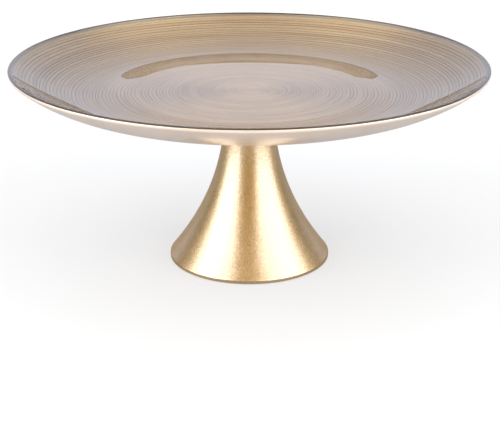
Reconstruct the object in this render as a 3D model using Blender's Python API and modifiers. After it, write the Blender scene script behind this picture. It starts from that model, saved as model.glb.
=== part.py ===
"""Footed cake stand: a shallow dished glass plate that screws onto a hollow, flared metal foot.

The plate has a flat table, a very shallow trough round it, a circular-arc wall and a round-polished
rim. A small metal flange is bonded under its centre and carries a right-hand threaded stud. The stud
passes through a disc welded inside the neck of the foot and into a nut welded below that disc. A
silicone ring sits between the glass and the neck, and four pads stand under the hem of the foot.

Metres, +Z up. The origin is on the floor, on the axis of the stand.
"""

import math

import bmesh
import bpy

MM = 0.001
GAP = 0.3 * MM  # between pieces that touch
SMALL_STEPS = 40  # steps round the small turned pieces
TOOL_OVERRUN = 1.0 * MM  # a cutting tool reaches this far past the piece it cuts

# ---- plate -----------------------------------------------------------------------------------
PLATE_R = 160.0 * MM  # outside radius of the rim
RIM_TOP_Z = 140.5 * MM  # overall height of the stand
GLASS_T = 3.0 * MM  # wall of the plate
WELL_R = 100.0 * MM  # the wall arc starts here, level; this is the floor of the trough
TABLE_R = 81.0 * MM  # flat middle of the top face, a little proud of the trough
TABLE_FALL = math.radians(3.0)  # slope down from the edge of the table
FALL_END_R = 90.0 * MM  # from here the slope eases out to level at WELL_R
EASE_OFFSETS = (0.0, 3.0 * MM, 6.5 * MM)  # points on the easing slope, outward from FALL_END_R
WALL_ARC_R = 93.5 * MM  # arc of the underside; the top face is its offset by GLASS_T
PLATE_STEPS = 72
PLATE_ARC_STEPS = 8  # along each arc of the profile

# Heights of the plate that follow from the wall arc
MID_ARC_R = WALL_ARC_R - GLASS_T / 2  # middle of the glass
ARC_END = math.asin((PLATE_R - GLASS_T / 2 - WELL_R) / MID_ARC_R)
ARC_CENTRE_Z = RIM_TOP_Z - GLASS_T / 2 + MID_ARC_R * math.cos(ARC_END)
UNDER_Z = ARC_CENTRE_Z - WALL_ARC_R  # flat underside of the plate
TROUGH_Z = UNDER_Z + GLASS_T  # floor of the trough
EASE_Z = TROUGH_Z + math.tan(TABLE_FALL) * (WELL_R - FALL_END_R) / 2
TABLE_Z = EASE_Z + math.tan(TABLE_FALL) * (FALL_END_R - TABLE_R)

# ---- bond and flange -------------------------------------------------------------------------
BOND_R = 13.4 * MM
BOND_T = 0.4 * MM
BOND_TOP_Z = UNDER_Z - GAP
FLANGE_R = 13.8 * MM
FLANGE_T = 3.0 * MM
FLANGE_CHAMFER = 0.5 * MM
FLANGE_TOP_Z = BOND_TOP_Z - BOND_T - GAP
FLANGE_BOTTOM_Z = FLANGE_TOP_Z - FLANGE_T
BOSS_R = 7.6 * MM
BOSS_H = 2.6 * MM
BOSS_FILLET = 1.0 * MM  # sloped corner between boss and flange
BOSS_BOTTOM_Z = FLANGE_BOTTOM_Z - BOSS_H
STUD_SOCKET_DEPTH = 4.0 * MM  # the stud is held this deep in the flange
SOCKET_TOP_Z = BOSS_BOTTOM_Z + STUD_SOCKET_DEPTH

# ---- thread ----------------------------------------------------------------------------------
THREAD_R = 5.0 * MM  # M10, nominal radius
THREAD_PITCH = 1.5 * MM
THREAD_DEPTH = 0.92 * MM
THREAD_FLAT = THREAD_PITCH * 0.14  # length of the flat at the root and at the crest
THREAD_CLEARANCE = 0.18 * MM  # radial, in the nut
THREAD_STEPS = 20
STUD_TOP_Z = SOCKET_TOP_Z - GAP
STUD_TIP_Z = 94.4 * MM
STUD_CHAMFER = 1.3 * MM  # 45 degrees, at the tip

# ---- foot ------------------------------------------------------------------------------------
NECK_TOP_Z = 114.5 * MM
NECK_R = 16.7 * MM
FOOT_R = 56.1 * MM
FOOT_EDGE_Z = 0.5 * MM  # the skirt ends just clear of the floor
FOOT_EDGE_H = 2.2 * MM  # straight band at the bottom of the skirt
FOOT_EDGE_CHAMFER = 0.4 * MM
BAND_TOP_Z = FOOT_EDGE_Z + FOOT_EDGE_H
SHELL_T = 2.0 * MM
SKIRT_T = 1.7 * MM
HEM_Z = 2.0 * MM  # underside of the hem
HEM_T = 1.6 * MM
HEM_TOP_Z = HEM_Z + HEM_T
HEM_INNER_R = 43.2 * MM
HEM_CLEAR_H = 1.0 * MM  # bore points lower than this above the hem are left out
HEM_CORNER_INSET = 1.2 * MM  # least distance from the inside of the shell to the hem corner
FLARE_POWER = 2.27
FLARE_SEGMENTS = 13
SLOPE_STEP = 0.05 * MM  # half span of the slope estimate
FOOT_STEPS = 48

RING_INNER_R = 14.6 * MM
RING_OUTER_R = 17.0 * MM
RING_CHAMFER = 0.35 * MM
RING_TOP_Z = UNDER_Z - GAP
RING_BOTTOM_Z = NECK_TOP_Z + GAP

# ---- disc and nut in the neck ----------------------------------------------------------------
DISC_TOP_Z = 104.5 * MM
DISC_T = 2.0 * MM
DISC_BOTTOM_Z = DISC_TOP_Z - DISC_T
DISC_HOLE_R = 5.7 * MM
DISC_CHAMFER = 0.6 * MM
DISC_LIP_H = 3.4 * MM
DISC_LIP_T = 1.3 * MM
LIP_BOTTOM_Z = DISC_TOP_Z - DISC_LIP_H
LIP_SPREAD = 0.5  # the lip opens by this share of the widening of the bore

NUT_AF = 17.0 * MM  # across the flats
NUT_CORNER_R = NUT_AF / math.sqrt(3)
NUT_FACE_R = NUT_AF / 2 - 0.2 * MM  # flat end face inside the chamfer
NUT_CHAMFER = math.radians(30)
NUT_BLANK_R = NUT_CORNER_R + 0.5 * MM
NUT_H = 8.0 * MM
NUT_TOP_Z = DISC_BOTTOM_Z - GAP
NUT_BOTTOM_Z = NUT_TOP_Z - NUT_H
NUT_BLANK_STEPS = 36

# ---- pads ------------------------------------------------------------------------------------
PAD_COUNT = 4
PAD_FIRST_DEG = 45
PAD_R = 4.4 * MM
PAD_CIRCLE_R = 48.5 * MM
PAD_H = HEM_Z - GAP
PAD_BEVEL = 0.35 * MM
PAD_SIDES = 20
PAD_NAMES = [f"foot_pad_{i + 1}" for i in range(PAD_COUNT)]

# ---- mesh settings ---------------------------------------------------------------------------
SHARP_ANGLE = math.radians(32)  # edges sharper than this are shaded hard
SCREW_MERGE = 0.01 * MM
CUT_MERGE = 0.002 * MM  # cleans up after a boolean


# ---- scene -----------------------------------------------------------------------------------
for old_object in list(bpy.data.objects):
    bpy.data.objects.remove(old_object, do_unlink=True)


def collection(name):
    found = bpy.data.collections.get(name) or bpy.data.collections.new(name)
    if name not in bpy.context.scene.collection.children:
        bpy.context.scene.collection.children.link(found)
    return found


PARTS = collection("cake_stand")
CUTTERS = collection("cutters")


def material(name, colour, metallic, roughness):
    mat = bpy.data.materials.new(name)
    mat.use_nodes = True
    shader = mat.node_tree.nodes["Principled BSDF"]
    shader.inputs["Base Color"].default_value = (*colour, 1.0)
    shader.inputs["Metallic"].default_value = metallic
    shader.inputs["Roughness"].default_value = roughness
    return mat


GLASS = material("champagne_glass", colour=(0.62, 0.50, 0.34), metallic=0.55, roughness=0.12)
SATIN_GOLD = material("satin_gold", colour=(0.80, 0.60, 0.33), metallic=1.0, roughness=0.33)
ZINC = material("zinc_steel", colour=(0.62, 0.62, 0.60), metallic=1.0, roughness=0.35)
RAW_STEEL = material("raw_steel", colour=(0.45, 0.44, 0.42), metallic=1.0, roughness=0.45)
BOND = material("clear_bond", colour=(0.86, 0.87, 0.83), metallic=0.0, roughness=0.25)
SILICONE = material("clear_silicone", colour=(0.88, 0.87, 0.84), metallic=0.0, roughness=0.45)
RUBBER = material("pad_rubber", colour=(0.80, 0.79, 0.76), metallic=0.0, roughness=0.6)


# ---- building blocks -------------------------------------------------------------------------
def mesh_object(name, bm, mat, where=PARTS, location=(0, 0, 0)):
    bm.normal_update()
    mesh = bpy.data.meshes.new(name)
    bm.to_mesh(mesh)
    bm.free()
    obj = bpy.data.objects.new(name, mesh)
    obj.location = location
    where.objects.link(obj)
    if mat is not None:
        mesh.materials.append(mat)
    mesh.shade_smooth()
    mesh.set_sharp_from_angle(angle=SHARP_ANGLE)
    return obj


def prism(name, sides, radius, height, middle_z, mat, location=(0, 0, 0)):
    """An upright regular prism; radius is to its corners."""
    bm = bmesh.new()
    bmesh.ops.create_cone(
        bm, cap_ends=True, cap_tris=False, segments=sides, radius1=radius, radius2=radius, depth=height
    )
    bmesh.ops.translate(bm, verts=bm.verts, vec=(0, 0, middle_z))
    return mesh_object(name, bm, mat, location=location)


def screwed(name, profile, closed, where, modifier_name, steps):
    """A profile of (radius, height) points at +X with a Screw modifier round Z.
    Returns the object and the modifier."""
    bm = bmesh.new()
    points = [bm.verts.new((r, 0.0, z)) for r, z in profile]
    for start, end in zip(points, points[1:]):
        bm.edges.new((start, end))
    if closed:
        bm.edges.new((points[-1], points[0]))
    mesh = bpy.data.meshes.new(name)
    bm.to_mesh(mesh)
    bm.free()
    obj = bpy.data.objects.new(name, mesh)
    where.objects.link(obj)
    screw = obj.modifiers.new(modifier_name, "SCREW")
    screw.axis = "Z"
    screw.angle = 2 * math.pi
    screw.steps = screw.render_steps = steps
    screw.use_merge_vertices = True
    screw.merge_threshold = SCREW_MERGE
    screw.use_smooth_shade = True
    screw.use_normal_calculate = False
    return obj, screw


def turned(name, profile, mat, steps=SMALL_STEPS, closed=False, where=PARTS):
    """A turned piece. The profile starts at the top and runs down the outer side; a closed one
    comes back to its start along the bore, an open one starts and ends on the axis."""
    obj, _ = screwed(name, profile, closed, where, "turn", steps)
    if mat is not None:
        obj.data.materials.append(mat)
    return obj


def arc(centre_r, centre_z, radius, start, end):
    """Points on an arc, with the angle measured from straight down towards +X."""
    angles = [start + (end - start) * i / PLATE_ARC_STEPS for i in range(PLATE_ARC_STEPS + 1)]
    return [(centre_r + radius * math.sin(a), centre_z - radius * math.cos(a)) for a in angles]


def evaluated_mesh(obj):
    """A new mesh holding the object with its modifiers applied."""
    bpy.context.view_layer.update()
    depsgraph = bpy.context.evaluated_depsgraph_get()
    return bpy.data.meshes.new_from_object(obj.evaluated_get(depsgraph))


def cut_with(obj, tool, operation):
    """Applies a boolean of obj with tool to the object's own mesh, and removes the tool."""
    cut = obj.modifiers.new("cut", "BOOLEAN")
    cut.operation = operation
    cut.solver = "EXACT"
    cut.object = tool
    result = evaluated_mesh(obj)
    obj.modifiers.remove(cut)
    uncut = obj.data
    obj.data = result
    bpy.data.meshes.remove(uncut)
    bm = bmesh.new()
    bm.from_mesh(obj.data)
    bmesh.ops.remove_doubles(bm, verts=bm.verts, dist=CUT_MERGE)
    bmesh.ops.dissolve_degenerate(bm, edges=bm.edges, dist=CUT_MERGE)
    bm.to_mesh(obj.data)
    bm.free()
    bpy.data.objects.remove(tool, do_unlink=True)


def thread_body(name, low_z, high_z, clearance=0.0, mat=None):
    """A closed threaded rod from low_z to high_z; without a material it is a cutting tool.
    One pitch of a 60-degree profile is screwed upwards. Every rod made here has the same phase,
    so a stud and its nut are in mesh. The ends are cut flat and filled."""
    crest_r = THREAD_R + clearance
    root_r = THREAD_R - THREAD_DEPTH + clearance
    first_z = (math.floor(low_z / THREAD_PITCH) - 1) * THREAD_PITCH
    rise = (THREAD_PITCH - 2 * THREAD_FLAT) / 2
    corners = [
        (root_r, 0.0),
        (root_r, THREAD_FLAT),
        (crest_r, THREAD_FLAT + rise),
        (crest_r, 2 * THREAD_FLAT + rise),
        (root_r, THREAD_PITCH),
    ]
    profile = [(r, first_z + z) for r, z in reversed(corners)]
    seed, screw = screwed(name + "_pitch", profile, False, CUTTERS, "thread", THREAD_STEPS)
    screw.screw_offset = THREAD_PITCH
    # the spare turns reach past both ends
    screw.iterations = math.ceil((high_z - low_z) / THREAD_PITCH) + 3
    wound = evaluated_mesh(seed)
    bpy.data.objects.remove(seed, do_unlink=True)

    bm = bmesh.new()
    bm.from_mesh(wound)
    bpy.data.meshes.remove(wound)
    bmesh.ops.remove_doubles(bm, verts=bm.verts, dist=SCREW_MERGE)
    for height, up in ((low_z, -1.0), (high_z, 1.0)):
        bmesh.ops.bisect_plane(
            bm,
            geom=list(bm.verts) + list(bm.edges) + list(bm.faces),
            dist=1e-7,
            plane_co=(0, 0, height),
            plane_no=(0, 0, up),
            clear_outer=True,
        )
        end_edges = [
            e for e in bm.edges if e.is_boundary and all(abs(v.co.z - height) < 1e-6 for v in e.verts)
        ]
        bmesh.ops.edgenet_fill(bm, edges=end_edges)
    bmesh.ops.recalc_face_normals(bm, faces=bm.faces)
    return mesh_object(name, bm, mat, PARTS if mat else CUTTERS)


# ---- pieces fixed to the plate ---------------------------------------------------------------
def glass_plate():
    """The profile runs out along the table, down into the trough and up the wall, round the
    polished rim, and back down the underside to the axis."""
    ease_curve = math.tan(TABLE_FALL) / (2 * (WELL_R - FALL_END_R))
    ease_radii = [FALL_END_R + offset for offset in EASE_OFFSETS]
    ease = [(r, TROUGH_Z + ease_curve * (WELL_R - r) ** 2) for r in ease_radii]
    top_wall = arc(WELL_R, ARC_CENTRE_Z, WALL_ARC_R - GLASS_T, 0.0, ARC_END)
    # The rim is a half circle from the end of the top face round to the end of the underside.
    rim_r = WELL_R + MID_ARC_R * math.sin(ARC_END)
    rim_z = ARC_CENTRE_Z - MID_ARC_R * math.cos(ARC_END)
    rim = arc(rim_r, rim_z, GLASS_T / 2, math.pi + ARC_END, ARC_END)[1:-1]
    under_wall = arc(WELL_R, ARC_CENTRE_Z, WALL_ARC_R, ARC_END, 0.0)
    table = [(0.0, TABLE_Z), (TABLE_R * 0.5, TABLE_Z), (TABLE_R, TABLE_Z)]
    underside = [(WELL_R * 0.5, UNDER_Z), (0.0, UNDER_Z)]
    profile = table + ease + top_wall + rim + under_wall + underside
    turned("glass_plate", profile, GLASS, PLATE_STEPS)


def adhesive_disc():
    bottom_z = BOND_TOP_Z - BOND_T
    profile = [(0.0, BOND_TOP_Z), (BOND_R, BOND_TOP_Z), (BOND_R, bottom_z), (0.0, bottom_z)]
    turned("adhesive_disc", profile, BOND)


def mounting_flange():
    """A flange with a boss below it, and a blind socket for the stud."""
    socket_r = THREAD_R + GAP
    profile = [
        (0.0, FLANGE_TOP_Z),
        (FLANGE_R - FLANGE_CHAMFER, FLANGE_TOP_Z),
        (FLANGE_R, FLANGE_TOP_Z - FLANGE_CHAMFER),
        (FLANGE_R, FLANGE_BOTTOM_Z + FLANGE_CHAMFER),
        (FLANGE_R - FLANGE_CHAMFER, FLANGE_BOTTOM_Z),
        (BOSS_R + BOSS_FILLET, FLANGE_BOTTOM_Z),
        (BOSS_R, FLANGE_BOTTOM_Z - BOSS_FILLET),
        (BOSS_R, BOSS_BOTTOM_Z + FLANGE_CHAMFER),
        (BOSS_R - FLANGE_CHAMFER, BOSS_BOTTOM_Z),
        (socket_r, BOSS_BOTTOM_Z),
        (socket_r, SOCKET_TOP_Z),
        (0.0, SOCKET_TOP_Z),
    ]
    turned("mounting_flange", profile, ZINC)


def threaded_stud():
    """A threaded rod, its tip chamfered by intersecting it with a turned blank."""
    stud = thread_body("threaded_stud", STUD_TIP_Z, STUD_TOP_Z, mat=ZINC)
    blank_r = THREAD_R + TOOL_OVERRUN
    tip_r = THREAD_R - STUD_CHAMFER
    profile = [
        (0.0, STUD_TOP_Z + TOOL_OVERRUN),
        (blank_r, STUD_TOP_Z + TOOL_OVERRUN),
        (blank_r, STUD_TIP_Z + STUD_CHAMFER + TOOL_OVERRUN),
        (tip_r, STUD_TIP_Z),
        (tip_r, STUD_TIP_Z - TOOL_OVERRUN),
        (0.0, STUD_TIP_Z - TOOL_OVERRUN),
    ]
    blank = turned("stud_blank", profile, None, THREAD_STEPS * 2, where=CUTTERS)
    cut_with(stud, blank, "INTERSECT")


def gasket_ring():
    profile = [
        (RING_INNER_R, RING_TOP_Z),
        (RING_OUTER_R - RING_CHAMFER, RING_TOP_Z),
        (RING_OUTER_R, RING_TOP_Z - RING_CHAMFER),
        (RING_OUTER_R, RING_BOTTOM_Z + RING_CHAMFER),
        (RING_OUTER_R - RING_CHAMFER, RING_BOTTOM_Z),
        (RING_INNER_R, RING_BOTTOM_Z),
    ]
    turned("gasket_ring", profile, SILICONE, closed=True)


# ---- foot and what is fixed to it ------------------------------------------------------------
def foot_radius(z):
    """Outside radius of the foot: a slowly opening neck that flares into the skirt."""
    down = min(max((NECK_TOP_Z - z) / (NECK_TOP_Z - BAND_TOP_Z), 0.0), 1.0)
    return NECK_R + (FOOT_R - NECK_R) * down**FLARE_POWER


def foot_slope(z):
    return (foot_radius(z + SLOPE_STEP) - foot_radius(z - SLOPE_STEP)) / (2 * SLOPE_STEP)


def bore_radius(z):
    return foot_radius(z) - SHELL_T


def pedestal_shell():
    levels = [
        NECK_TOP_Z + (BAND_TOP_Z - NECK_TOP_Z) * (i / FLARE_SEGMENTS)
        for i in range(FLARE_SEGMENTS + 1)
    ]
    outside = [(foot_radius(z), z) for z in levels]
    # the inside is offset square to the outside
    inside = []
    for r, z in outside:
        slope = foot_slope(z)
        offset = SHELL_T / math.hypot(1.0, slope)
        inside.append((r - offset, z + offset * slope))
    # the bore starts level with the top of the neck and ends on the hem
    inside[0] = (NECK_R - SHELL_T, NECK_TOP_Z)
    inside = [point for point in inside if point[1] > HEM_TOP_Z + HEM_CLEAR_H]
    last_r, last_z = inside[-1]
    hem_corner_r = last_r + (last_z - HEM_TOP_Z) * abs(foot_slope(last_z))
    skirt_and_hem = [
        (FOOT_R, FOOT_EDGE_Z + FOOT_EDGE_CHAMFER),
        (FOOT_R - FOOT_EDGE_CHAMFER, FOOT_EDGE_Z),
        (FOOT_R - SKIRT_T, FOOT_EDGE_Z),
        (FOOT_R - SKIRT_T, HEM_Z),
        (HEM_INNER_R, HEM_Z),
        (HEM_INNER_R, HEM_TOP_Z),
        (min(hem_corner_r, FOOT_R - SHELL_T - HEM_CORNER_INSET), HEM_TOP_Z),
    ]
    profile = outside + skirt_and_hem + inside[::-1]
    turned("pedestal_shell", profile, SATIN_GOLD, FOOT_STEPS, closed=True)


def neck_disc():
    """A shallow pressed cup, open downwards. Its lip lies against the bore of the neck."""
    top_r = bore_radius(DISC_TOP_Z) - GAP
    low_r = top_r + LIP_SPREAD * (bore_radius(LIP_BOTTOM_Z) - bore_radius(DISC_TOP_Z))
    profile = [
        (DISC_HOLE_R, DISC_TOP_Z),
        (top_r - DISC_CHAMFER, DISC_TOP_Z),
        (top_r, DISC_TOP_Z - DISC_CHAMFER),
        (low_r, LIP_BOTTOM_Z),
        (low_r - DISC_LIP_T, LIP_BOTTOM_Z),
        (low_r - DISC_LIP_T, DISC_BOTTOM_Z),
        (DISC_HOLE_R, DISC_BOTTOM_Z),
    ]
    turned("neck_disc", profile, RAW_STEEL, closed=True)


def weld_nut():
    """A hexagon with its corners turned down to a chamfer at both ends, then tapped."""
    nut = prism("weld_nut", 6, NUT_CORNER_R, NUT_H, NUT_TOP_Z - NUT_H / 2, RAW_STEEL)
    drop = (NUT_BLANK_R - NUT_FACE_R) * math.tan(NUT_CHAMFER)
    profile = [
        (0.0, NUT_TOP_Z),
        (NUT_FACE_R, NUT_TOP_Z),
        (NUT_BLANK_R, NUT_TOP_Z - drop),
        (NUT_BLANK_R, NUT_BOTTOM_Z + drop),
        (NUT_FACE_R, NUT_BOTTOM_Z),
        (0.0, NUT_BOTTOM_Z),
    ]
    blank = turned("nut_blank", profile, None, NUT_BLANK_STEPS, where=CUTTERS)
    cut_with(nut, blank, "INTERSECT")
    tap = thread_body(
        "tap", NUT_BOTTOM_Z - TOOL_OVERRUN, NUT_TOP_Z + TOOL_OVERRUN, clearance=THREAD_CLEARANCE
    )
    cut_with(nut, tap, "DIFFERENCE")


def foot_pads():
    for i, name in enumerate(PAD_NAMES):
        angle = math.radians(PAD_FIRST_DEG + 360 * i / PAD_COUNT)
        location = (PAD_CIRCLE_R * math.cos(angle), PAD_CIRCLE_R * math.sin(angle), 0.0)
        pad = prism(name, PAD_SIDES, PAD_R, PAD_H, PAD_H / 2, RUBBER, location)
        soften = pad.modifiers.new("edge", "BEVEL")
        soften.width = PAD_BEVEL
        soften.segments = 1
        soften.limit_method = "ANGLE"


def joint_frames():
    """The plate and everything bonded to it turn about the axis of the stand; the ring only
    rises. Each frame is the parent of the next."""
    outer_frame = None
    for frame_name, members in (
        ("foot_frame", ["pedestal_shell", "neck_disc", "weld_nut"] + PAD_NAMES),
        ("ring_lift_axis", ["gasket_ring"]),
        (
            "plate_turn_axis",
            ["glass_plate", "adhesive_disc", "mounting_flange", "threaded_stud"],
        ),
    ):
        frame = bpy.data.objects.new(frame_name, None)
        frame.empty_display_size = 0.02
        PARTS.objects.link(frame)
        for member in members:
            bpy.data.objects[member].parent = frame
        frame.parent = outer_frame
        outer_frame = frame


glass_plate()
adhesive_disc()
mounting_flange()
threaded_stud()
gasket_ring()
pedestal_shell()
neck_disc()
weld_nut()
foot_pads()
joint_frames()
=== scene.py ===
"""Cake stand: a shallow round glass plate on a flared, satin gold foot.

It stands upright on the floor, centred on the Z axis, and the camera looks from -Y. The underside of the
glass has a gold lacquer coat and a pearl coat. The plate, coats, foot and silicone ring are turned
meshes built round the CAD frame's boxes; the fixings are the frame's own pieces. Lengths are in metres.
"""

import math

import bpy
import numpy as np
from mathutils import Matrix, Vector


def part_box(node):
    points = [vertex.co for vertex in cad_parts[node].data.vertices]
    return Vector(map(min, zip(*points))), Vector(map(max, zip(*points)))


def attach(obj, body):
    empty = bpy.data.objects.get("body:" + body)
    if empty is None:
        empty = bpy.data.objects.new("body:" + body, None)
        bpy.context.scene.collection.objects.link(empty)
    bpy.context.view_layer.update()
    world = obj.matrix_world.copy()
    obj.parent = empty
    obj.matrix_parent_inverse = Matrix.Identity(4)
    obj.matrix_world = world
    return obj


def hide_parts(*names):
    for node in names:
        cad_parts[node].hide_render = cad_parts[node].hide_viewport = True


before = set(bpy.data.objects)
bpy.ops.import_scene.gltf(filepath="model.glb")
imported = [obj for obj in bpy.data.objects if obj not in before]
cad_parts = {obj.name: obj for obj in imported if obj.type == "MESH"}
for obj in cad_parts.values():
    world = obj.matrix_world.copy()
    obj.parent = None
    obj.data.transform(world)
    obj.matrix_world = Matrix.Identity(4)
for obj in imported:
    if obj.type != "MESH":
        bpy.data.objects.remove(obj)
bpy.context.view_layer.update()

MM = 0.001
ON_AXIS = 1e-7  # a profile point nearer the axis than this is on it

# ---------------------------------------------------------------------------------------------
# sizes, from the frame
# ---------------------------------------------------------------------------------------------
plate_lo, plate_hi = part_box("glass_plate")
ring_lo, ring_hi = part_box("gasket_ring")
foot_lo, foot_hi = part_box("pedestal_shell")

# Plate: a level middle, then a wall that is an arc starting level and ending in the round rim.
PLATE_STEPS = 200
PLATE_R = plate_hi.x
UNDER_Z = plate_lo.z
GLASS_T = 3.0 * MM
WELL_R = 0.625 * PLATE_R  # where the wall starts
RIM_R = GLASS_T / 2

# The radius of the wall's middle line follows from the plate's height and width.
rise = (plate_hi.z - GLASS_T / 2) - (UNDER_Z + GLASS_T / 2)
run = PLATE_R - GLASS_T / 2 - WELL_R
WALL_R = (rise**2 + run**2) / (2 * rise)
WALL_END = math.asin(run / WALL_R)
WALL_CENTRE = (WELL_R, UNDER_Z + GLASS_T / 2 + WALL_R)
WALL_UNDER_R = WALL_R + GLASS_T / 2
UNDER_EDGE = WELL_R + WALL_UNDER_R * math.sin(WALL_END)  # where the underside meets the rim

# A flat table in the middle of the top stands just proud of a very shallow trough.
TABLE_R = 0.81 * WELL_R
FALL_R = 0.90 * WELL_R  # end of the straight fall
FALL = math.tan(math.radians(3.0))
TROUGH_Z = UNDER_Z + GLASS_T
TABLE_Z = TROUGH_Z + FALL * (WELL_R - FALL_R) / 2 + FALL * (FALL_R - TABLE_R)
TABLE_EDGE = 0.5 * MM  # half width of the softened edge
TABLE_EDGE_DROP = 0.004 * MM

# Coats: heights are measured up from the underside of the glass, along its normal.
COAT_END = math.radians(118)  # the coats wrap round the rim to just above its widest line
GOLD_TOP, GOLD_LOW = 0.11 * MM, -0.01 * MM
PEARL_TOP, PEARL_LOW = -0.02 * MM, -0.08 * MM
GROOVE_CUT = 0.03 * MM  # deepest groove in the gold

# Foot: a shell that flares from the neck to a short upright band, with a hem turned in below.
FOOT_STEPS = 192
FOOT_R = foot_hi.x
FOOT_EDGE_Z = foot_lo.z
NECK_Z = foot_hi.z
NECK_R = ring_hi.x - 0.3 * MM
NECK_EDGE = 0.5 * MM
NECK_BEVEL = 0.15 * MM
FLARE_POWER = 2.27
BAND_Z = FOOT_EDGE_Z + 2.2 * MM
SHELL_T = 2.0 * MM
SKIRT_T = 1.7 * MM
HEM_Z, HEM_T, HEM_R = 2.0 * MM, 1.6 * MM, 43.2 * MM

RING_STEPS = 128
RING_BORE_R = 14.6 * MM
RING_ROUND = 0.45 * MM


# ---------------------------------------------------------------------------------------------
# mesh helpers
# ---------------------------------------------------------------------------------------------
def lathe(name, profile, steps, closed=False):
    """Turns a profile of (radius, height) about Z. It runs down its outer side, so the faces point
    out. A point on the axis makes one shared vertex."""
    rings, verts, faces = [], [], []
    for radius, z in profile:
        if radius < ON_AXIS:
            rings.append([len(verts)])
            verts.append((0.0, 0.0, z))
            continue
        rings.append(list(range(len(verts), len(verts) + steps)))
        for i in range(steps):
            angle = math.tau * i / steps
            verts.append((radius * math.cos(angle), radius * math.sin(angle), z))
    pairs = list(zip(rings, rings[1:]))
    if closed:
        pairs.append((rings[-1], rings[0]))
    for upper, lower in pairs:
        for i in range(steps):
            j = (i + 1) % steps
            if len(upper) == 1:
                faces.append((upper[0], lower[i], lower[j]))
            elif len(lower) == 1:
                faces.append((upper[i], lower[0], upper[j]))
            else:
                faces.append((upper[i], lower[i], lower[j], upper[j]))
    mesh = bpy.data.meshes.new(name)
    mesh.from_pydata(verts, [], faces)
    mesh.update()
    mesh.polygons.foreach_set("material_index", [0] * len(faces))  # stored as an attribute
    mesh.shade_smooth()
    obj = bpy.data.objects.new(name, mesh)
    bpy.context.scene.collection.objects.link(obj)
    return obj


def on_circle(centre, radius, angle):
    """A point on a circle in the profile, with the angle measured from straight down, outwards."""
    return (centre[0] + radius * math.sin(angle), centre[1] - radius * math.cos(angle))


def arc(centre, radius, start, end, count):
    return [on_circle(centre, radius, start + (end - start) * i / count) for i in range(count + 1)]


def rounded(corners, count, closed=True):
    """Rounds the corners of a profile, each given as (radius, height, size of the rounding)."""
    points = [corner[:2] for corner in corners]
    last = len(points) - 1
    out = []
    for i, (point, (_, _, rounding)) in enumerate(zip(points, corners)):
        if not closed and i in (0, last):
            out.append(point)
            continue
        corner = Vector(point)
        back = Vector(points[i - 1]) - corner
        ahead = Vector(points[(i + 1) % len(points)]) - corner
        # doubled points and nearly straight corners stay as they are
        if min(back.length, ahead.length) < 1e-9 or abs(math.pi - back.angle(ahead)) < 0.12:
            out.append(tuple(corner))
            continue
        cut = rounding / math.tan(back.angle(ahead) / 2)
        cut = min(cut, back.length * 0.45, ahead.length * 0.45)
        start, end = corner + back.normalized() * cut, corner + ahead.normalized() * cut
        for k in range(count + 1):
            t = k / count
            out.append(tuple(start * (1 - t) ** 2 + corner * 2 * t * (1 - t) + end * t**2))
    return out


def fit(obj, material, ride, replaces=None):
    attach(obj, ride)
    if replaces:
        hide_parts(replaces)
    obj.data.materials.append(material)


# ---------------------------------------------------------------------------------------------
# node helpers
# ---------------------------------------------------------------------------------------------
NOISE_SPAN = (0.3, 0.7)  # the middle of a noise, where most of its values lie


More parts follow.
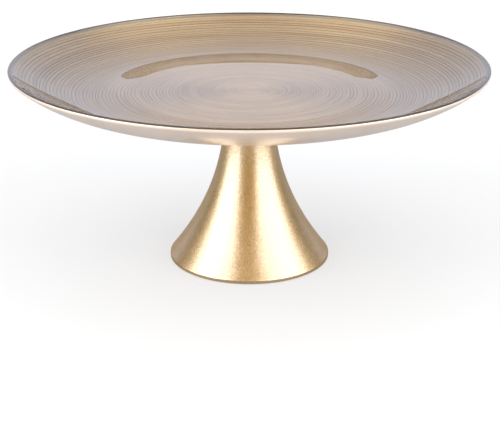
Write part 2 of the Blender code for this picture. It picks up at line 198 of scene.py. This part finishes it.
class Nodes:
    """Short calls for building a node tree. Each input is a value or another node's output."""

    def __init__(self, tree):
        self.tree = tree

    def add(self, kind, **props):
        node = self.tree.nodes.new(kind)
        for key, value in props.items():
            setattr(node, key, value)
        return node

    def put(self, value, socket):
        if isinstance(value, bpy.types.NodeSocket):
            self.tree.links.new(value, socket)
        elif value is not None:
            socket.default_value = value

    def fill(self, node, values):
        """Sets inputs by name."""
        for name, value in values.items():
            self.put(value, node.inputs[name])

    def math(self, op, a, b=None):
        node = self.add("ShaderNodeMath", operation=op)
        self.put(a, node.inputs[0])
        self.put(b, node.inputs[1])
        return node.outputs[0]

    def plus(self, a, b):
        return self.math("ADD", a, b)

    def times(self, a, b):
        return self.math("MULTIPLY", a, b)

    def rest(self, share):
        """One less the share."""
        return self.math("SUBTRACT", 1.0, share)

    def square_sum(self, x, y):
        return self.plus(self.times(x, x), self.times(y, y))

    def radius(self, x, y):
        return self.math("SQRT", self.square_sum(x, y))

    def position(self):
        return self.add("ShaderNodeTexCoord").outputs["Object"]

    def facing(self):
        """0 seen face on, 1 seen edge on."""
        node = self.add("ShaderNodeLayerWeight")
        node.inputs["Blend"].default_value = 0.5
        return node.outputs["Facing"]

    def is_camera_ray(self):
        return self.add("ShaderNodeLightPath").outputs["Is Camera Ray"]

    def split(self, vector):
        node = self.add("ShaderNodeSeparateXYZ")
        self.put(vector, node.inputs[0])
        return node.outputs

    def combine(self, x, y, z):
        node = self.add("ShaderNodeCombineXYZ")
        for value, socket in zip((x, y, z), node.inputs):
            self.put(value, socket)
        return node.outputs[0]

    def noise(self, vector, scale, detail, rough, distortion=0.0):
        node = self.add("ShaderNodeTexNoise")
        values = {"Vector": vector, "Scale": scale, "Detail": detail}
        self.fill(node, values | {"Roughness": rough, "Distortion": distortion})
        return node.outputs[0]

    def ramp(self, value, over=(0.0, 1.0), to=(0.0, 1.0)):
        """Carries the range over on to the range to, clamped."""
        node = self.add("ShaderNodeMapRange", clamp=True)
        for item, socket in zip((value, *over, *to), node.inputs):
            self.put(item, socket)
        return node.outputs[0]

    def mix(self, factor, a, b, blend="MIX"):
        node = self.add("ShaderNodeMix", data_type="RGBA", blend_type=blend)
        colours = [socket for socket in node.inputs if socket.type == "RGBA"]
        self.put(factor, node.inputs["Factor"])
        self.put(a, colours[0])
        self.put(b, colours[1])
        return next(socket for socket in node.outputs if socket.type == "RGBA")

    def wash(self, base, colour, value, over, to=(0.0, 1.0)):
        """Lays a colour over a base, as strongly as a ramp of the value says."""
        return self.mix(self.ramp(value, over, to), base, colour)

    def shade(self, colour, level):
        """Multiplies a colour by a grey level."""
        return self.mix(1.0, colour, self.combine(level, level, level), "MULTIPLY")

    def bump(self, height, strength, distance, normal=None):
        node = self.add("ShaderNodeBump")
        values = {"Strength": strength, "Distance": distance}
        self.fill(node, values | {"Height": height, "Normal": normal})
        return node.outputs[0]


def new_material(name):
    mat = bpy.data.materials.new(name)
    mat.use_nodes = True
    return mat, Nodes(mat.node_tree), mat.node_tree.nodes["Principled BSDF"]


# ---------------------------------------------------------------------------------------------
# glass plate
# ---------------------------------------------------------------------------------------------
RIM_CENTRE = on_circle(WALL_CENTRE, WALL_R, WALL_END)


def glass_profile():
    top = [(k * TABLE_R / 10, TABLE_Z) for k in range(10)]
    top += [
        (TABLE_R - TABLE_EDGE, TABLE_Z),
        (TABLE_R, TABLE_Z - TABLE_EDGE_DROP),
        (TABLE_R + TABLE_EDGE, TABLE_Z - FALL * TABLE_EDGE),
    ]
    for k in range(1, 6):  # the straight fall
        across = (FALL_R - TABLE_R) * k / 6
        top.append((TABLE_R + across, TABLE_Z - FALL * across))
    for k in range(10):  # easing level into the trough
        radius = FALL_R + (WELL_R - FALL_R) * k / 10
        top.append((radius, TROUGH_Z + FALL * (WELL_R - radius) ** 2 / (2 * (WELL_R - FALL_R))))
    top += arc(WALL_CENTRE, WALL_R - GLASS_T / 2, 0.0, WALL_END, 48)
    rim = arc(RIM_CENTRE, RIM_R, math.pi + WALL_END, WALL_END, 24)[1:-1]
    under = arc(WALL_CENTRE, WALL_UNDER_R, WALL_END, 0.0, 40)
    under += [(k * WELL_R / 10, UNDER_Z) for k in range(9, -1, -1)]
    return top + rim + under


def clear_glass():
    mat, nodes, bsdf = new_material("clear_glass")
    nodes.fill(bsdf, {
        "Base Color": (0.985, 0.985, 0.98, 1),
        "Roughness": 0.0,
        "IOR": 1.5,
        "Transmission Weight": 1.0,
    })
    return mat


glass = lathe("clear_glass_plate", glass_profile(), PLATE_STEPS)
fit(glass, clear_glass(), ride="plate", replaces="glass_plate")

# ---------------------------------------------------------------------------------------------
# gold and pearl coats
# ---------------------------------------------------------------------------------------------
COAT_RADII = [UNDER_EDGE * k / 48 for k in range(49)]
RIM_TURNS = [WALL_END + (COAT_END - WALL_END) * k / 12 for k in range(1, 13)]


def coat_face(radii, heights):
    """A face of a coat from the axis out and round the rim. The rim takes the last height."""
    points = []
    for radius, up in zip(radii, heights):
        if radius <= WELL_R:
            points.append((radius, UNDER_Z + up))
        else:
            angle = math.asin((radius - WELL_R) / WALL_UNDER_R)
            points.append(on_circle(WALL_CENTRE, WALL_UNDER_R - up, angle))
    return points + [on_circle(RIM_CENTRE, RIM_R - heights[-1], angle) for angle in RIM_TURNS]


def level_face(up):
    return coat_face(COAT_RADII, [up] * len(COAT_RADII))


# Bands of comb grooves, in mm: outer radius, smallest gap, largest gap, half width; then depth, 0 to 1
COMB_BANDS = [
    (24, 1.4, 2.4, 0.32, 0.50),
    (46, 1.3, 1.9, 0.34, 1.00),
    (62, 1.5, 2.4, 0.36, 0.75),
    (112, 1.9, 2.8, 0.44, 0.85),
    (200, 1.7, 2.8, 0.38, 0.85),
]
COMB_SEED = 11
COMB_START = 1.6 * MM
COMB_MARGIN = 1.4 * MM  # kept clear inside the edge of the underside


def comb_grooves():
    """The grooves that a comb leaves in the turned coat: radius, half width, depth."""
    random = np.random.RandomState(COMB_SEED)
    grooves, radius = [], COMB_START
    while radius < UNDER_EDGE - COMB_MARGIN:
        _, low, high, half, depth = next(band for band in COMB_BANDS if radius < band[0] * MM)
        grooves.append((radius, half * MM, depth * random.uniform(0.30, 1.0)))
        radius += random.uniform(low, high) * MM
    return grooves


def comb_stations():
    """The combed face as (radius, groove depth), with a low crest in each wide gap."""
    grooves = comb_grooves()
    stations = [(0.0, 0.0), (0.8 * MM, 0.0)]
    for (radius, half, depth), after in zip(grooves, grooves[1:] + [(UNDER_EDGE, 0.0, 0.0)]):
        stations += [
            (radius - half, 0.0),
            (radius - half * 0.45, depth * 0.9),
            (radius + half * 0.35, depth),
            (radius + half, 0.0),
        ]
        gap = after[0] - after[1] - (radius + half)
        if gap > 0.4 * MM:
            stations.append((radius + half + gap / 2, -0.15))
    return [point for point in stations if point[0] < UNDER_EDGE - 0.2 * MM] + [(UNDER_EDGE, 0.0)]


def gold_coat():
    """The combed coat. Its groove attribute tells the material how deep each vertex is cut."""
    radii, depths = zip(*comb_stations())
    profile = coat_face(radii, [GOLD_TOP - GROOVE_CUT * depth for depth in depths])
    profile += level_face(GOLD_LOW)[::-1]
    obj = lathe("gold_lacquer_coat", profile, PLATE_STEPS)
    groove = []
    for i, (radius, _) in enumerate(profile):
        depth = max(depths[i], 0.0) if i < len(depths) else 0.0
        groove.extend([depth] * (1 if radius < ON_AXIS else PLATE_STEPS))
    obj.data.attributes.new("groove", "FLOAT", "POINT").data.foreach_set("value", groove)
    return obj


def turned_gold():
    """Gold flake lacquer combed into rings, under its own clear, combed skin."""
    mat, nodes, bsdf = new_material("turned_gold_lacquer")
    position = nodes.position()
    x, y, _ = nodes.split(position)
    radius = nodes.radius(x, y)
    # comb lines: noise that changes quickly with radius and slowly round the plate
    swirl = nodes.combine(radius, nodes.times(nodes.math("ARCTAN2", y, x), 0.0010), 0.0)
    fine = nodes.noise(swirl, scale=1300.0, detail=2.0, rough=0.6)
    coarse = nodes.noise(swirl, scale=420.0, detail=4.0, rough=0.65)
    broad = nodes.noise(swirl, scale=60.0, detail=2.0, rough=0.5)
    flakes = nodes.noise(position, scale=1100.0, detail=2.0, rough=0.6)
    groove = nodes.add("ShaderNodeAttribute", attribute_name="groove").outputs["Fac"]

    tone = (0.74, 0.435, 0.14, 1)
    for colour, value, over, to in (
        ((0.98, 0.66, 0.24, 1), coarse, NOISE_SPAN, (0.0, 1.0)),
        ((0.98, 0.76, 0.40, 1), fine, (0.52, 0.68), (0.0, 0.55)),
        ((0.34, 0.18, 0.05, 1), fine, (0.32, 0.46), (0.45, 0.0)),
        ((0.96, 0.74, 0.42, 1), flakes, (0.52, 0.72), (0.0, 0.55)),
        ((0.36, 0.20, 0.06, 1), flakes, (0.28, 0.46), (0.40, 0.0)),
        # darker in the grooves: partly the paint's own colour, partly painted shade in the recess
        ((0.30, 0.145, 0.055, 1), groove, (0.0, 0.6), (0.0, 0.86)),
    ):
        tone = nodes.wash(tone, colour, value, over, to)

    # flake lacquer goes darker as it leans away, and more so on the wall
    facing = nodes.facing()
    lean = nodes.ramp(facing, over=(0.06, 0.235))
    wall = nodes.ramp(radius, over=(0.088, 0.104))
    level = nodes.ramp(lean, to=(1.0, nodes.ramp(wall, to=(0.83, 0.72))))
    # painted highlight: the wall's gold is made up to 1.25 times brighter where it is seen nearly
    # edge-on, which lights up the wedges by the rim
    graze = nodes.times(nodes.ramp(facing, over=(0.240, 0.254)), wall)
    level = nodes.times(level, nodes.ramp(graze, to=(1.0, 1.25)))
    # painted shade: a dark line where the coat turns round the rim, darkened by slant and by radius
    turned = nodes.times(nodes.ramp(facing, over=(0.2545, 0.262)), wall)
    level = nodes.times(level, nodes.ramp(turned, to=(1.0, 0.35)))
    level = nodes.times(level, nodes.ramp(radius, over=(0.1572, 0.1584), to=(1.0, 0.45)))

    calm = nodes.times(lean, wall)  # seen at a slant through the wall, the relief evens out
    combed = nodes.bump(coarse, strength=0.35, distance=0.0001)
    # the skin is thin in the grooves
    skin = nodes.times(
        nodes.ramp(coarse, over=(0.3, 0.6), to=(0.55, 1.0)),
        nodes.ramp(groove, over=(0.0, 0.5), to=(1.0, 0.0)),
    )
    relief = nodes.times(nodes.ramp(calm, to=(0.7, 0.30)), nodes.ramp(graze, to=(1.0, 0.3)))
    skin_lines = nodes.noise(swirl, scale=900.0, detail=3.0, rough=0.7)
    tangent = nodes.add("ShaderNodeTangent", direction_type="RADIAL", axis="Z")
    nodes.fill(bsdf, {
        "Base Color": nodes.shade(tone, level),
        "Metallic": 0.9,
        "Roughness": nodes.ramp(broad, over=NOISE_SPAN, to=(0.38, 0.48)),
        "Anisotropic": 0.85,
        "Anisotropic Rotation": 0.25,
        "Tangent": tangent.outputs[0],
        "Normal": nodes.bump(fine, strength=0.25, distance=0.00004, normal=combed),
        "Coat Weight": nodes.times(skin, nodes.ramp(calm, to=(1.0, 0.80))),
        "Coat IOR": 2.55,
        "Coat Roughness": 0.25,
        "Coat Normal": nodes.bump(skin_lines, strength=relief, distance=0.0005),
    })
    return mat


def pearl_paint():
    mat, nodes, bsdf = new_material("pearl_champagne_lacquer")
    position = nodes.position()
    cloud = nodes.noise(position, scale=38.0, detail=4.0, rough=0.55)
    flakes = nodes.noise(position, scale=2600.0, detail=1.0, rough=0.5)
    dark, light, flake = (0.71, 0.585, 0.495, 1), (0.78, 0.65, 0.555, 1), (0.85, 0.78, 0.70, 1)
    tone = nodes.wash(dark, light, cloud, over=(0.35, 0.65))
    nodes.fill(bsdf, {
        "Base Color": nodes.wash(tone, flake, flakes, over=(0.5, 0.8), to=(0.0, 0.25)),
        "Metallic": 0.25,
        "Roughness": nodes.ramp(cloud, over=NOISE_SPAN, to=(0.34, 0.42)),
        "Coat Weight": 0.6,
        "Coat Roughness": 0.12,
        "Normal": nodes.bump(flakes, strength=0.1, distance=0.00003),
    })
    return mat


gold = gold_coat()
fit(gold, turned_gold(), ride="plate")
pearl_profile = level_face(PEARL_TOP) + level_face(PEARL_LOW)[::-1]
pearl = lathe("pearl_back_coat", pearl_profile, PLATE_STEPS)
fit(pearl, pearl_paint(), ride="plate")


# ---------------------------------------------------------------------------------------------
# foot
# ---------------------------------------------------------------------------------------------
def foot_radius(z):
    down = min(max((NECK_Z - z) / (NECK_Z - BAND_Z), 0.0), 1.0)
    return NECK_R + (FOOT_R - NECK_R) * down**FLARE_POWER


def foot_slope(z):
    step = 0.05 * MM
    return (foot_radius(z + step) - foot_radius(z - step)) / (2 * step)


def foot_profile():
    hem_top = HEM_Z + HEM_T
    outside, inside = [], []
    for i in range(91):
        z = NECK_Z + (BAND_Z - NECK_Z) * i / 90
        radius, slope = foot_radius(z), foot_slope(z)
        outside.append((radius, z))
        inner_z = z + SHELL_T * slope / math.hypot(1.0, slope)
        if inner_z > hem_top + 1.0 * MM:
            inside.append((radius - SHELL_T / math.hypot(1.0, slope), inner_z))
    # the inner face runs on straight until it meets the hem
    end_r, end_z = inside[-1]
    corner_r = end_r + (end_z - hem_top) * abs(foot_slope(end_z))
    corner_r = min(corner_r, FOOT_R - SHELL_T - 1.2 * MM)
    edge = rounded(
        [
            (*outside[-2], 0),
            (FOOT_R, BAND_Z, 1.3 * MM),
            (FOOT_R, FOOT_EDGE_Z, 0.35 * MM),
            (FOOT_R - SKIRT_T, FOOT_EDGE_Z, 0.3 * MM),
            (FOOT_R - SKIRT_T, HEM_Z, 0.3 * MM),
            (HEM_R, HEM_Z, 0.5 * MM),
            (HEM_R, hem_top, 0.5 * MM),
            (corner_r, hem_top, 0.6 * MM),
            (*inside[-1], 0),
        ],
        count=5,
        closed=False,
    )[1:-1]
    neck = [
        (NECK_R - SHELL_T + NECK_EDGE, NECK_Z),
        (NECK_R - NECK_EDGE, NECK_Z),
        (NECK_R - NECK_BEVEL, NECK_Z - NECK_BEVEL),
    ]
    bore_edge = (NECK_R - SHELL_T, NECK_Z - NECK_EDGE)
    return neck + outside[1:-1] + edge + inside[:0:-1] + [bore_edge]


def satin_gold():
    """Gold paint over metal with a leathery grain, under a clear satin skin."""
    mat, nodes, bsdf = new_material("satin_gold_leather_grain")
    position = nodes.position()
    x, y, z = nodes.split(position)
    angle = nodes.math("ARCTAN2", y, x)
    squeezed = nodes.combine(x, y, nodes.times(z, 1.5))
    turned = nodes.combine(z, nodes.times(angle, 0.004), 0.0)
    grain = nodes.noise(squeezed, scale=560.0, detail=4.0, rough=0.68, distortion=0.6)
    pits = nodes.noise(squeezed, scale=1500.0, detail=2.0, rough=0.6)
    cloud = nodes.noise(position, scale=70.0, detail=4.0, rough=0.6)
    spin = nodes.noise(turned, scale=500.0, detail=3.0, rough=0.6)

    dark, light = (0.44, 0.262, 0.072, 1), (0.51, 0.315, 0.088, 1)
    crest, valley = (0.68, 0.45, 0.17, 1), (0.27, 0.14, 0.035, 1)
    tone = nodes.wash(dark, light, cloud, over=NOISE_SPAN)
    tone = nodes.wash(tone, crest, grain, over=(0.50, 0.70), to=(0.0, 0.6))
    tone = nodes.wash(tone, valley, grain, over=(0.30, 0.48), to=(0.6, 0.0))
    normal = nodes.bump(grain, strength=0.45, distance=0.0004)
    normal = nodes.bump(pits, strength=0.20, distance=0.00012, normal=normal)
    nodes.fill(bsdf, {
        "Base Color": tone,
        "Metallic": 1.0,
        "Roughness": nodes.ramp(grain, over=NOISE_SPAN, to=(0.42, 0.34)),
        "Normal": nodes.bump(spin, strength=0.15, distance=0.0001, normal=normal),
        "Coat Weight": nodes.ramp(nodes.facing(), over=(0.30, 0.75), to=(1.0, 0.25)),
        "Coat IOR": 2.75,
        "Coat Roughness": nodes.ramp(grain, over=NOISE_SPAN, to=(0.30, 0.24)),
        "Coat Normal": nodes.bump(grain, strength=0.16, distance=0.0003),
    })
    return mat


foot = lathe("satin_gold_foot", foot_profile(), FOOT_STEPS, closed=True)
fit(foot, satin_gold(), ride="foot", replaces="pedestal_shell")


# ---------------------------------------------------------------------------------------------
# silicone ring
# ---------------------------------------------------------------------------------------------
def silicone():
    mat, nodes, bsdf = new_material("frosted_silicone")
    haze = nodes.noise(nodes.position(), scale=420.0, detail=3.0, rough=0.6)
    nodes.fill(bsdf, {
        "Base Color": nodes.mix(haze, (0.80, 0.78, 0.73, 1), (0.90, 0.88, 0.84, 1)),
        "Roughness": nodes.ramp(haze, over=NOISE_SPAN, to=(0.35, 0.5)),
        "Subsurface Weight": 0.5,
        "Subsurface Scale": 0.002,
        "Normal": nodes.bump(haze, strength=0.1, distance=0.0001),
    })
    return mat


ring_corners = [
    (RING_BORE_R, ring_hi.z, RING_ROUND),
    (ring_hi.x, ring_hi.z, RING_ROUND),
    (ring_hi.x, ring_lo.z, RING_ROUND),
    (RING_BORE_R, ring_lo.z, RING_ROUND),
]
ring = lathe("silicone_ring", rounded(ring_corners, count=6), RING_STEPS, closed=True)
fit(ring, silicone(), ride="ring", replaces="gasket_ring")


# ---------------------------------------------------------------------------------------------
# fixings carried over from the frame
# ---------------------------------------------------------------------------------------------
def plated(name, base, dark, rough, line_scale):
    """Stained metal with fine turning lines."""
    mat, nodes, bsdf = new_material(name)
    position = nodes.position()
    x, y, z = nodes.split(position)
    section = nodes.combine(nodes.radius(x, y), nodes.times(z, 1.0), 0.0)
    lines = nodes.noise(section, scale=line_scale, detail=3.0, rough=0.6)
    stain = nodes.noise(position, scale=160.0, detail=4.0, rough=0.6)
    nodes.fill(bsdf, {
        "Base Color": nodes.wash(base, dark, stain, over=(0.35, 0.7)),
        "Metallic": 1.0,
        "Roughness": nodes.ramp(stain, over=NOISE_SPAN, to=(rough, rough + 0.12)),
        "Normal": nodes.bump(lines, strength=0.25, distance=0.00006),
    })
    return mat


def plain(name, dark, light, rough):
    """A faintly clouded, non-metallic surface."""
    mat, nodes, bsdf = new_material(name)
    cloud = nodes.noise(nodes.position(), scale=300.0, detail=3.0, rough=0.6)
    nodes.fill(bsdf, {
        "Base Color": nodes.mix(cloud, dark, light),
        "Roughness": nodes.ramp(cloud, over=NOISE_SPAN, to=(rough, rough + 0.1)),
        "Normal": nodes.bump(cloud, strength=0.08, distance=0.0001),
    })
    return mat


def paint(mat, *names):
    """Gives frame pieces a material, in every slot they have."""
    for name in names:
        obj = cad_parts[name]
        for slot in obj.material_slots:
            slot.material = mat
        if not obj.material_slots:
            obj.data.materials.append(mat)


zinc = plated(
    "zinc_plate",
    base=(0.66, 0.66, 0.64, 1), dark=(0.52, 0.53, 0.53, 1), rough=0.26, line_scale=1500.0,
)
steel = plated(
    "pressed_steel",
    base=(0.42, 0.41, 0.40, 1), dark=(0.30, 0.29, 0.28, 1), rough=0.38, line_scale=900.0,
)
adhesive = plain(
    "cured_adhesive", dark=(0.82, 0.82, 0.76, 1), light=(0.90, 0.90, 0.85, 1), rough=0.2
)
elastomer = plain(
    "pad_elastomer", dark=(0.74, 0.73, 0.70, 1), light=(0.82, 0.81, 0.78, 1), rough=0.45
)
paint(zinc, "mounting_flange", "threaded_stud")
paint(steel, "neck_disc", "weld_nut")
paint(adhesive, "adhesive_disc")
paint(elastomer, *(f"foot_pad_{i}" for i in range(1, 5)))

# ---------------------------------------------------------------------------------------------
# floor and world
# ---------------------------------------------------------------------------------------------
FLOOR_SIZE, FLOOR_Y = 14, 2.0
FLOOR_TONE, BLACK, WHITE = (0.295, 0.30, 0.303, 1), (0.0, 0.0, 0.0, 1), (1.0, 1.0, 1.0, 1)


def pale_floor():
    """A floor that glows by one amount for the camera and by another for all other rays."""
    mat, nodes, bsdf = new_material("pale_floor")
    far = (0.7, 1.6)  # where the floor fades into the backdrop, from the stand's axis
    x, y, _ = nodes.split(nodes.position())
    y = nodes.plus(y, FLOOR_Y)  # measured from the stand's axis
    near = nodes.radius(x, y)

    painted_contact_shadow = nodes.math("POWER", nodes.ramp(near, over=(0.05, 0.45), to=(0.28, 0.0)), 2.0)
    seen = nodes.math("SUBTRACT", 0.60, painted_contact_shadow)  # painted contact shadow: the floor glows less round the stand
    seen = nodes.plus(seen, nodes.ramp(y, over=(0.3, 1.2), to=(0.0, 0.13)))
    seen = nodes.plus(seen, nodes.ramp(near, over=far, to=(0.0, 0.46)))

    # a bright oval card in front of the stand
    card = nodes.square_sum(nodes.times(x, 7.0), nodes.times(nodes.plus(y, 0.34), 6.0))
    unseen = nodes.plus(
        nodes.ramp(near, over=far, to=(0.17, 0.62)),
        nodes.ramp(card, over=(0.3, 1.4), to=(0.45, 0.0)),
    )
    camera_ray = nodes.is_camera_ray()
    glow = nodes.plus(nodes.times(camera_ray, seen), nodes.times(nodes.rest(camera_ray), unseen))
    nodes.fill(bsdf, {
        "Base Color": nodes.wash(FLOOR_TONE, BLACK, near, over=far),
        "Roughness": 0.5,
        "Specular IOR Level": 0.0,
        "Emission Color": WHITE,
        "Emission Strength": glow,
    })
    return mat


def studio_world():
    """White paper behind, dark flags at the sides, warm at the front; plain white to the camera."""
    world = bpy.data.worlds.new("studio")
    bpy.context.scene.world = world
    world.use_nodes = True
    nodes = Nodes(world.node_tree)
    x, y, z = nodes.split(nodes.add("ShaderNodeTexCoord").outputs["Generated"])
    # 0 behind the stand, pi at the camera
    turn = nodes.math("ABSOLUTE", nodes.math("ARCTAN2", x, y))

    behind = nodes.ramp(turn, over=(0.85, 1.18), to=(1.0, 0.0))
    ceiling = nodes.ramp(z, over=(0.75, 0.92))
    paper = nodes.times(behind, nodes.rest(ceiling))
    side = nodes.times(
        nodes.ramp(turn, over=(0.80, 1.05)),
        nodes.ramp(turn, over=(1.25, 1.5), to=(1.0, 0.0)),
    )
    flag = nodes.times(side, nodes.ramp(z, over=(0.5, 0.8), to=(1.0, 0.0)))
    front = nodes.times(
        nodes.ramp(turn, over=(2.6, 2.85)),
        nodes.ramp(z, over=(0.84, 0.98), to=(1.0, 0.0)),
    )

    paper_level = nodes.ramp(z, over=(0.04, 0.24), to=(0.92, 1.21))
    room_level = nodes.ramp(z, over=(0.35, 0.80), to=(0.72, 1.14))
    front_level = nodes.ramp(z, over=(0.0, 0.75), to=(1.40, 0.80))
    level = nodes.plus(
        nodes.times(paper_level, paper), nodes.times(room_level, nodes.rest(paper))
    )
    level = nodes.times(level, nodes.ramp(flag, to=(1.0, 0.22)))
    level = nodes.times(level, nodes.ramp(front, to=(1.0, front_level)))
    cool, warm = (0.91, 0.95, 1.11, 1), (0.62, 0.42, 0.17, 1)
    tint = nodes.mix(front, nodes.mix(paper, WHITE, cool), warm)
    colour = nodes.mix(nodes.is_camera_ray(), nodes.shade(tint, level), WHITE)
    nodes.fill(world.node_tree.nodes["Background"], {"Color": colour})


bpy.ops.mesh.primitive_plane_add(size=FLOOR_SIZE, location=(0, FLOOR_Y, 0))
floor = bpy.context.object
floor.name = "floor"
floor.data.materials.append(pale_floor())
studio_world()

# ---------------------------------------------------------------------------------------------
# lights
# ---------------------------------------------------------------------------------------------
LIGHT_AIM = Vector((0, 0, 0.07))
LIGHT_ELEVATION = math.radians(25)
LIGHT_DISTANCE = 1.7


def softbox(name, azimuth, width, height, radiance, receivers):
    """An area light on its own receivers. Azimuth, in degrees, is measured from the camera's side,
    positive towards +X."""
    turn, level = math.radians(azimuth), math.cos(LIGHT_ELEVATION)
    data = bpy.data.lights.new(name, "AREA")
    data.shape = "RECTANGLE"
    data.size, data.size_y = width, height
    data.energy = radiance * math.pi * width * height
    obj = bpy.data.objects.new(name, data)
    bpy.context.scene.collection.objects.link(obj)
    towards = Vector((math.sin(turn) * level, -math.cos(turn) * level, math.sin(LIGHT_ELEVATION)))
    obj.location = towards * LIGHT_DISTANCE + LIGHT_AIM
    obj.rotation_euler = (LIGHT_AIM - obj.location).to_track_quat("-Z", "Y").to_euler()
    obj.visible_camera = False
    group = bpy.data.collections.new(name + "_receivers")
    for piece in receivers:
        group.objects.link(piece)
    obj.light_linking.receiver_collection = group


# the glass and the gold behind it get a softer pair of the same boxes than everything else does
others = [floor, foot, pearl, ring] + [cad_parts[name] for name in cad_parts]
for label, receivers, left, right in (  # radiance of the left and right boxes
    ("metal", others, 3.5, 3.1),
    ("glass", [glass, gold], 1.6, 1.5),
):
    softbox("softbox_left_" + label, azimuth=-62, width=1.76, height=1.64,
            radiance=left, receivers=receivers)
    softbox("softbox_right_" + label, azimuth=56, width=2.12, height=1.62,
            radiance=right, receivers=receivers)

# ---------------------------------------------------------------------------------------------
# camera
# ---------------------------------------------------------------------------------------------
CAMERA_PLACE = (0.0004, -0.7865, 0.3311)
CAMERA_DIP = 21.13  # degrees below level
LENS_MM, SENSOR_MM = 85.9464, 36.0

scene = bpy.context.scene
cam_data = bpy.data.cameras.new("camera")
cam = bpy.data.objects.new("camera", cam_data)
scene.collection.objects.link(cam)
cam_data.sensor_width = SENSOR_MM
cam_data.lens = LENS_MM
cam.location = CAMERA_PLACE
cam.rotation_euler = (math.radians(90 - CAMERA_DIP), 0, 0)
cam_data.clip_start, cam_data.clip_end = 0.01, 50.0
scene.camera = cam
scene.view_settings.view_transform = "Standard"
scene.view_settings.look = "None"
